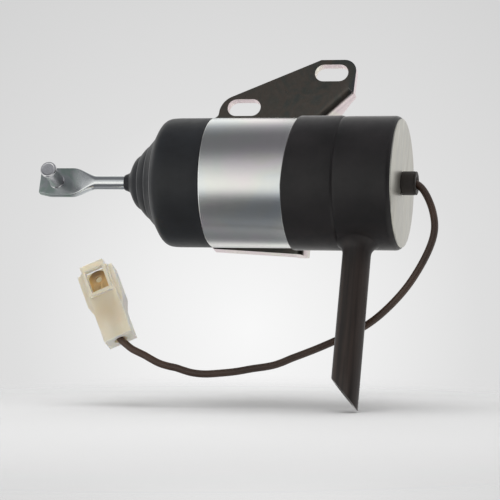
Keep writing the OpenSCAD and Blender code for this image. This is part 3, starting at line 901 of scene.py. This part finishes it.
def rodMaterial():
    # Bright on the round part; the forged flat is duller, with passivation tints
    r = rod
    paint = Paint("rodZinc", Metallic=1.0, Anisotropic=0.2)
    share = paint.spread(paint.parts(paint.place)["X"], 1.0, 0.0,
                         r["flatEnd"] * mm, (r["flatEnd"] + r["roundStart"]) / 2 * mm)
    lines = paint.noise(1600, detail=6, roughness=0.6, stretch=(0.03, 1, 1))
    patches = paint.noise(150, detail=4, roughness=0.55, distortion=0.8)
    specks = paint.noise(800, detail=5, roughness=0.7)
    bright = paint.mixed(paint.spread(specks, 0.0, 0.25, 0.5, 0.85), r["colour"],
                         toned(r["colour"], 0.6))
    paint.feed(
        Base_Color=paint.mixed(share, bright, paint.ramp(patches, r["flatTones"])),
        Roughness=paint.maths("ADD", paint.spread(share, r["roughness"], r["flatRoughness"]),
                              paint.spread(lines, -0.03, 0.05)),
        Normal=paint.bump(specks, 0.12, 0.04, paint.bump(lines, 0.15, 0.03)))
    return paint.material


def rodSection(x, halfUp, halfSide, corner):
    ring, steps = [], 10
    for quarter, (signSide, signUp) in enumerate(((1, 1), (-1, 1), (-1, -1), (1, -1))):
        for k in range(steps + 1):
            a = math.radians(90 * quarter + 90 * k / steps)
            ring.append(offAxis(x, signSide * (halfSide - corner) + corner * math.cos(a),
                                signUp * (halfUp - corner) + corner * math.sin(a)))
    return ring


def makeRod():
    r = rod
    rings = []
    hair = 1e-4                                    # keeps a round section's corners apart
    for x, wide, thick in r["end"]:
        side = r["flatThick"] * thick
        rings.append(rodSection(r["tip"] + x, r["flatHalf"] * wide, side,
                                min(r["corner"], side * 0.9)))
    count = 18
    for i in range(count + 1):
        t = i / count
        x = r["flatEnd"] + (r["roundStart"] - r["flatEnd"]) * t
        up = r["flatHalf"] + (r["radius"] - r["flatHalf"]) * (1 - math.cos(math.pi * t)) / 2
        side = r["flatThick"] + (r["radius"] - r["flatThick"]) * t ** r["thickening"]
        corner = r["corner"] + (min(up, side) - r["corner"]) * t ** r["cornering"]
        rings.append(rodSection(x, up, side, min(corner, up, side) - hair))
    for x in r["shank"]:
        rings.append(rodSection(x, r["radius"], r["radius"], r["radius"] - hair))
    piece = lofted("pullRod", rings, 40)
    dress(piece, rodMaterial(), "plunger")
    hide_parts("rod")


makeRod()

pin = {
    "place": -72.5,
    "outline": [                         # radius, place out from the flat's middle, rounding
        (0, -2.0, 0), (1.7, -2.0, 0.3), (2.75, -1.4, 0.3), (2.75, -1.1, 0), (1.7, -1.1, 0),
        (1.7, 1.1, 0), (2.65, 1.1, 0), (2.3, 1.45, 0.2), (2.3, 10.45, 0.2), (2.8, 10.6, 0.15),
        (2.8, 11.55, 0.3), (2.45, 11.8, 0.2), (2.05, 11.66, 0.3), (0, 11.7, 0)],
    "colour": (0.70, 0.73, 0.72),
    "roughness": 0.24,
}


def makePin():
    steps = 72
    outline = rounded(pin["outline"], 3)
    points = [offAxis(pin["place"] + radius * math.cos(a), -out, radius * math.sin(a))
              for radius, out in outline for a in circle(steps)]
    piece = addMesh("linkPin", points, quads(len(outline), steps), 40)
    zinc = metalMaterial("pinZinc", pin["colour"], pin["roughness"], 1300, (1, 0.03, 1),
                         specks=0.35, grain=0.3)
    dress(piece, zinc, "plunger")
    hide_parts("link_pin")


makePin()
print("stage: rod and pin built")


bracket = {
    "edge": 0.35,
    "faceTones": [(0.25, (0.085, 0.085, 0.085)), (0.4, (0.125, 0.128, 0.112)),
                  (0.52, (0.165, 0.14, 0.118)), (0.62, (0.125, 0.13, 0.115)),
                  (0.78, (0.095, 0.10, 0.125))],
    "speck": (0.22, 0.215, 0.2),
    # painted highlight on the cut edges, slot walls and the bend's outer side
    "paintedHighlightTones": [(0.38, (0.95, 0.93, 0.82)), (0.55, (0.95, 0.82, 0.84))],
    "paintedHighlightMetallic": 0.45,
    "roughness": 0.27,
}


def bracketMaterial():
    # Dark passivated faces; the faces turned away from them (cut edges, slot walls, the bend's
    # outer side) get a bright painted highlight
    b = bracket
    paint = Paint("bracketZinc")
    patches = paint.noise(60, detail=5, roughness=0.6, distortion=1.2)
    specks = paint.noise(650, detail=6, roughness=0.7)
    # Painted highlight: faces turned away from the plate's faces take the bright tones
    share = paint.spread(paint.sideways(), 1.0, 0.0, 0.5, 0.72)
    faces = paint.mixed(paint.spread(specks, 0.0, 0.4, 0.5, 0.85),
                        paint.ramp(patches, b["faceTones"]), b["speck"])
    paint.feed(
        Base_Color=paint.mixed(share, faces, paint.ramp(patches, b["paintedHighlightTones"])),
        Metallic=paint.spread(share, 1.0, b["paintedHighlightMetallic"]),
        Roughness=paint.spread(specks, b["roughness"] - 0.05, b["roughness"] + 0.1),
        Normal=paint.bump(patches, 0.08, 0.3, paint.bump(specks, 0.1, 0.03)))
    return paint.material


def makeBracket():
    # The node's own form with its edges broken
    piece = bpy.data.objects.new("bracketPlate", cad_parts["bracket"].data.copy())
    bpy.context.scene.collection.objects.link(piece)
    mesh = bmesh.new()
    mesh.from_mesh(piece.data)
    bmesh.ops.remove_doubles(mesh, verts=mesh.verts, dist=2e-6)
    bmesh.ops.dissolve_limit(mesh, angle_limit=math.radians(1), verts=mesh.verts, edges=mesh.edges)
    mesh.to_mesh(piece.data)
    mesh.free()
    if piece.data.has_custom_normals:
        bpy.context.view_layer.objects.active = piece
        bpy.ops.mesh.customdata_custom_splitnormals_clear()
    shade(piece, 25)
    softEdges(piece, bracket["edge"], segments=3, angle=25, flat=True)
    dress(piece, bracketMaterial())
    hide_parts("bracket")


makeBracket()

weld = {
    "along": (-12.5, 7.5),
    "side": 20.9,
    "up": 7.3,
    "radius": 1.3,
    "ripple": 0.16,
    "rippleStep": 0.95,
    "stretch": (0.95, 1.15),
    "colour": (0.22, 0.215, 0.2),
    "roughness": 0.38,
}


def weldBead(sign):
    rings = []
    start, end = weld["along"]
    deep, high = weld["stretch"]
    count = 90
    for i in range(count + 1):
        t = i / count
        swell = math.sqrt(max(0.0, 1 - abs(2 * t - 1) ** 8))
        wave = weld["ripple"] * math.sin(i * weld["rippleStep"]) * swell
        r = weld["radius"] * max(0.15, swell) + wave
        rings.append([offAxis(start + (end - start) * t, weld["side"] + r * math.cos(a) * deep,
                              sign * (weld["up"] + r * math.sin(a) * high)) for a in circle(20)])
    return lofted("weldBead", rings, 60)


def makeWelds():
    whole = joined("weldBeads", [weldBead(-1), weldBead(1)])
    shade(whole, 60)
    steel = metalMaterial("weldSteel", weld["colour"], weld["roughness"], 900, (1, 1, 1),
                          specks=0.5, grain=0.4)
    dress(whole, steel)
    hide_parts("bracket_welds")


makeWelds()
print("stage: bracket and welds built")


# Inside
inside = {
    "steel": (0.56, 0.55, 0.53), "bronze": (0.55, 0.36, 0.16), "brass": (0.76, 0.56, 0.26),
    "copper": (0.62, 0.25, 0.10), "tape": (0.66, 0.52, 0.28), "rubber": (0.02, 0.02, 0.02),
}


def windingMaterial():
    paint = Paint("copperWinding", Metallic=0.9, Roughness=0.3, Coat_Weight=0.4)
    wave = paint.add("ShaderNodeTexWave", {"Vector": paint.place, "Scale": 480, "Distortion": 0.4})
    wave.bands_direction = "X"
    turns = wave.outputs["Fac"]
    copper = inside["copper"]
    paint.feed(
        Base_Color=paint.ramp(turns, [(0.1, toned(copper, 0.4)), (0.6, copper)]),
        Normal=paint.bump(turns, 0.6, 0.15))
    return paint.material


def tapeMaterial():
    paint = Paint("coilTape", Roughness=0.6)
    weave = paint.noise(1500, detail=3, stretch=(0.2, 1, 1))
    tape = inside["tape"]
    paint.feed(
        Base_Color=paint.ramp(paint.noise(80, detail=3), [
            (0.3, toned(tape, 0.85, 0.85, 0.8)), (0.7, toned(tape, 1.08, 1.08, 1.05))]),
        Normal=paint.bump(weave, 0.3, 0.06))
    return paint.material


def dressInside():
    # The pieces inside the can keep the solids' own meshes
    drawn = (0.04, 1, 1)
    steel = metalMaterial("innerSteel", inside["steel"], 0.3, 1200, drawn, specks=0.3, grain=0.3)
    bronze = metalMaterial("sinteredBronze", inside["bronze"], 0.42, 2200, (1, 1, 1),
                           specks=0.5, grain=0.5)
    brass = metalMaterial("tubeBrass", inside["brass"], 0.28, 1200, drawn, specks=0.2)
    tape = tapeMaterial()
    for node, material in {
        "front_plate": steel, "core_plate": steel, "fixed_core": steel, "plunger": steel,
        "spring_washer": steel, "ground_rivet": steel, "guide_bush": bronze,
        "guide_tube": brass, "ground_lug": brass, "lead_splice": brass,
        "coil_winding": windingMaterial(), "coil_tape": tape, "insulating_disc": tape,
        "bobbin": nylon, "stop_bumper": rubberMaterial("bumperRubber", inside["rubber"], 0.55),
    }.items():
        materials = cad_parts[node].data.materials
        materials.clear()
        materials.append(material)


dressInside()

spring = {
    "start": 0.0, "end": 28.9, "turns": 9, "closed": 1.2, "wire": 0.9, "radius": 3.65,
    "stroke": 10,
}


def makeSpring():
    s = spring
    steps = 32
    half = s["wire"] / 2
    whole = s["end"] - s["start"]
    length = whole - s["wire"]
    flat = s["closed"] * s["wire"] * 1.06          # the closed turns lie almost wire on wire
    rings = []
    for i in range(s["turns"] * steps + 1):
        t = i / steps
        if t < s["closed"]:
            rise = t / s["closed"] * flat
        elif t > s["turns"] - s["closed"]:
            rise = length - (s["turns"] - t) / s["closed"] * flat
        else:
            share = (t - s["closed"]) / (s["turns"] - 2 * s["closed"])
            rise = flat + share * (length - 2 * flat)
        a = 2 * math.pi * t
        rings.append([])
        for b in circle(10):
            out = s["radius"] + half * math.cos(b)
            rings[-1].append(offAxis(s["start"] + half + rise + half * math.sin(b),
                                     out * math.cos(a), out * math.sin(a)))
    piece = lofted("returnSpring", rings, 60)
    steel = metalMaterial("springSteel", inside["steel"], 0.3, 900, (1, 1, 1), specks=0.3)
    dress(piece, steel)
    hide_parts("return_spring")
    offAxis(s["end"], 0, 0)
    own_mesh(piece)


makeSpring()
print("stage: inner pieces dressed")


# Stage and light
ground = {
    "touch": 39.6,
    "drop": 0.6,
    "lean": 0.02,
    "radius": 300,
    "middle": (50, 50),                  # the tones' middle, left of the touch and in front of it
    "fade": (70, 240),
    "reach": 160,
    # painted pool of light: lighter at the middle, darker outward
    "tones": [(0.0, (0.67, 0.675, 0.68)), (0.4, (0.62, 0.625, 0.63)), (1.0, (0.55, 0.555, 0.56))],
}


def makeFloor():
    # A small disc, seen nearly edge-on, that fades into the background; its colour is a painted
    # pool of light, lighter about the middle
    g = ground
    normal = (viewUp + viewBack * g["lean"]).normalized()
    lowest = min(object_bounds()[0].z, cadBox[0].z)
    touch = Vector((g["touch"] * mm, axisSide * mm, lowest)) - normal * g["drop"] * mm
    deep = normal.cross(viewRight)
    steps, rings = 96, 12
    points = [touch]
    for i in range(1, rings + 1):
        out = g["radius"] * mm * i / rings
        points += [touch + (viewRight * math.cos(a) + deep * math.sin(a)) * out
                   for a in circle(steps)]
    faces = [(0, 1 + k, 1 + (k + 1) % steps) for k in range(steps)]
    faces += [tuple(1 + corner for corner in face) for face in quads(rings, steps)]
    floor = addMesh("paleFloor", points, faces)
    paint = Paint("floorPaper", Roughness=0.9, Specular_IOR_Level=0.0)
    left, forward = g["middle"]
    away = paint.distance(touch - (viewRight * left + deep * forward) * mm)
    start, end = g["fade"]
    fade = paint.add("ShaderNodeMapRange", {
        "Value": away, "From Min": start * mm, "From Max": end * mm})
    fade.interpolation_type = "SMOOTHERSTEP"
    # Painted pool of light: the floor's colour is lighter near the middle and darker outward
    share = paint.spread(away, 0.0, 1.0, 0.0, g["reach"] * mm)
    paint.feed(Base_Color=paint.ramp(share, g["tones"]))
    clear = paint.add("ShaderNodeBsdfTransparent")
    mix = paint.add("ShaderNodeMixShader", {
        0: fade.outputs["Result"], 1: paint.shader.outputs["BSDF"], 2: clear.outputs["BSDF"]})
    paint.links.new(mix.outputs["Shader"], paint.nodes["Material Output"].inputs["Surface"])
    floor.data.materials.append(paint.material)
    floor.visible_glossy = False


backdrop = {
    "fill": 0.74,
    "fillColour": (1.0, 0.985, 0.97),
    "low": 0.033,
    "tones": [(0.0, 0.945), (0.045, 0.86), (0.095, 0.735), (0.17, 0.655), (0.5, 0.70)],
}


def makeWorld():
    # What the camera and mirrors see, by direction; everything else gets the plain fill
    b = backdrop
    world = bpy.data.worlds.new("studio")
    bpy.context.scene.world = world
    world.use_nodes = True
    sky = Tree(world.node_tree, "Generated")
    fill = sky.nodes["Background"]
    sky.give(fill.inputs["Color"], b["fillColour"])
    sky.give(fill.inputs["Strength"], b["fill"])
    away = sky.distance((-viewBack - viewUp * b["low"]).normalized())
    reach = b["tones"][-1][0]
    colour = sky.ramp(sky.spread(away, 0.0, 1.0, 0.0, reach),
                      [(at / reach, (tone, tone, tone)) for at, tone in b["tones"]])
    seen = sky.add("ShaderNodeBackground", {"Color": colour})
    path = sky.add("ShaderNodeLightPath").outputs
    mirrored = sky.maths("MAXIMUM", path["Is Camera Ray"], path["Is Glossy Ray"])
    share = sky.maths("MAXIMUM", mirrored, path["Is Transmission Ray"])
    mix = sky.add("ShaderNodeMixShader", {
        0: share, 1: fill.outputs["Background"], 2: seen.outputs["Background"]})
    sky.links.new(mix.outputs["Shader"], sky.nodes["World Output"].inputs["Surface"])


middle = point(0, -26, -50)              # what the lamps and strips are placed about


def around(angle, distance, right):
    # A place by the photograph's own directions: an angle up from the camera, seen from the object
    a = math.radians(angle)
    forward = viewUp * math.sin(a) + viewBack * math.cos(a)
    return middle + viewRight * right + forward * distance


lamps = {
    "topSoftbox": {"angle": 98, "distance": 1.4, "right": -0.1, "size": (1.3, 0.7), "power": 12},
    "backSoftbox": {"angle": 142, "distance": 1.4, "right": 0.0, "size": (2.2, 0.8), "power": 5},
    "frontSoftbox": {"angle": 7, "distance": 1.5, "right": -0.2, "size": (2.2, 1.25),
                     "power": 4.6},
}


def addLamp(name, angle, distance, right, size, power):
    data = bpy.data.lights.new(name, "AREA")
    data.shape = "RECTANGLE"
    data.size, data.size_y = size
    data.energy = power
    lamp = bpy.data.objects.new(name, data)
    bpy.context.scene.collection.objects.link(lamp)
    place = around(angle, distance, right)
    back = (place - middle).normalized()
    across = (viewRight - back * viewRight.dot(back)).normalized()
    turn = Matrix((across, back.cross(across), back)).transposed().to_4x4()
    lamp.matrix_world = Matrix.Translation(place) @ turn
    lamp.visible_glossy = False


stripDistance = 1.25
strips = {
    "farLeftStrip": {"sides": (-2.0, -1.15), "tones": [
        (150, 0.5), (90, 0.3), (50, 0.7), (25, 1.5), (-40, 1.5), (-70, 0.9), (-110, 0.5),
        (-155, 0.12)]},
    "leftStrip": {"sides": (-1.15, 0.0), "tones": [
        (155, 1.25), (145, 1.15), (135, 0.92), (127, 0.62), (120, 0.42), (110, 0.24), (97, 0.15),
        (77, 0.15), (64, 0.17), (56, 0.23), (48, 0.34), (38, 0.5), (28, 0.63), (18, 0.75),
        (8, 0.9), (-4, 1.02), (-13, 0.96), (-19, 0.72), (-26, 0.33), (-33, 0.13), (-48, 0.12),
        (-64, 0.15), (-80, 0.24), (-95, 0.3), (-118, 0.2), (-131, 0.25), (-142, 0.9),
        (-155, 1.0)]},
    "rightStrip": {"sides": (0.0, 1.7), "tones": [
        (150, 0.75), (110, 0.5), (70, 0.3), (44, 0.14), (0, 0.1), (-28, 0.1), (-36, 0.4),
        (-44, 0.85), (-60, 0.95), (-95, 0.8), (-125, 0.4), (-140, 0.9), (-155, 1.0)]},
}


def stripColour(tones, angle):
    # Eased between the two tones about the angle; the darker, the cooler
    (a, toneA), (b, toneB) = next(
        pair for pair in zip(tones, tones[1:]) if pair[1][0] <= angle + 1e-6)
    t = (a - angle) / (a - b)
    value = toneA + (toneB - toneA) * t * t * (3 - 2 * t)
    cool = 1 - min(value, 1)
    return (value * (1 - 0.05 * cool), value * (1 - 0.01 * cool), value * (0.965 + 0.11 * cool), 1)


def addStrip(name, sides, tones):
    # A curved strip out of the frame whose tones only mirrors see
    count = 120
    high, low = tones[0][0], tones[-1][0]
    angles = [high + (low - high) * i / count for i in range(count + 1)]
    points = [around(angle, stripDistance, side) for angle in angles for side in sides]
    faces = [(2 * i, 2 * i + 1, 2 * i + 3, 2 * i + 2) for i in range(count)]
    strip = addMesh(name, points, faces, 180)
    tone = strip.data.color_attributes.new("tone", "FLOAT_COLOR", "POINT")
    for i, angle in enumerate(angles):
        for k in (0, 1):
            tone.data[2 * i + k].color = stripColour(tones, angle)
    material = bpy.data.materials.new(name + "Cloth")
    material.use_nodes = True
    nodes, links = material.node_tree.nodes, material.node_tree.links
    nodes.remove(nodes["Principled BSDF"])
    glow = nodes.new("ShaderNodeEmission")
    given = nodes.new("ShaderNodeAttribute")
    given.attribute_name = "tone"
    links.new(given.outputs["Color"], glow.inputs["Color"])
    links.new(glow.outputs["Emission"], nodes["Material Output"].inputs["Surface"])
    strip.data.materials.append(material)
    strip.visible_camera = False
    strip.visible_diffuse = False
    strip.visible_shadow = False


makeFloor()
makeWorld()
for name, settings in lamps.items():
    addLamp(name, **settings)
for name, settings in strips.items():
    addStrip(name, **settings)
bpy.context.scene.view_settings.view_transform = "Standard"
print("stage: studio set")
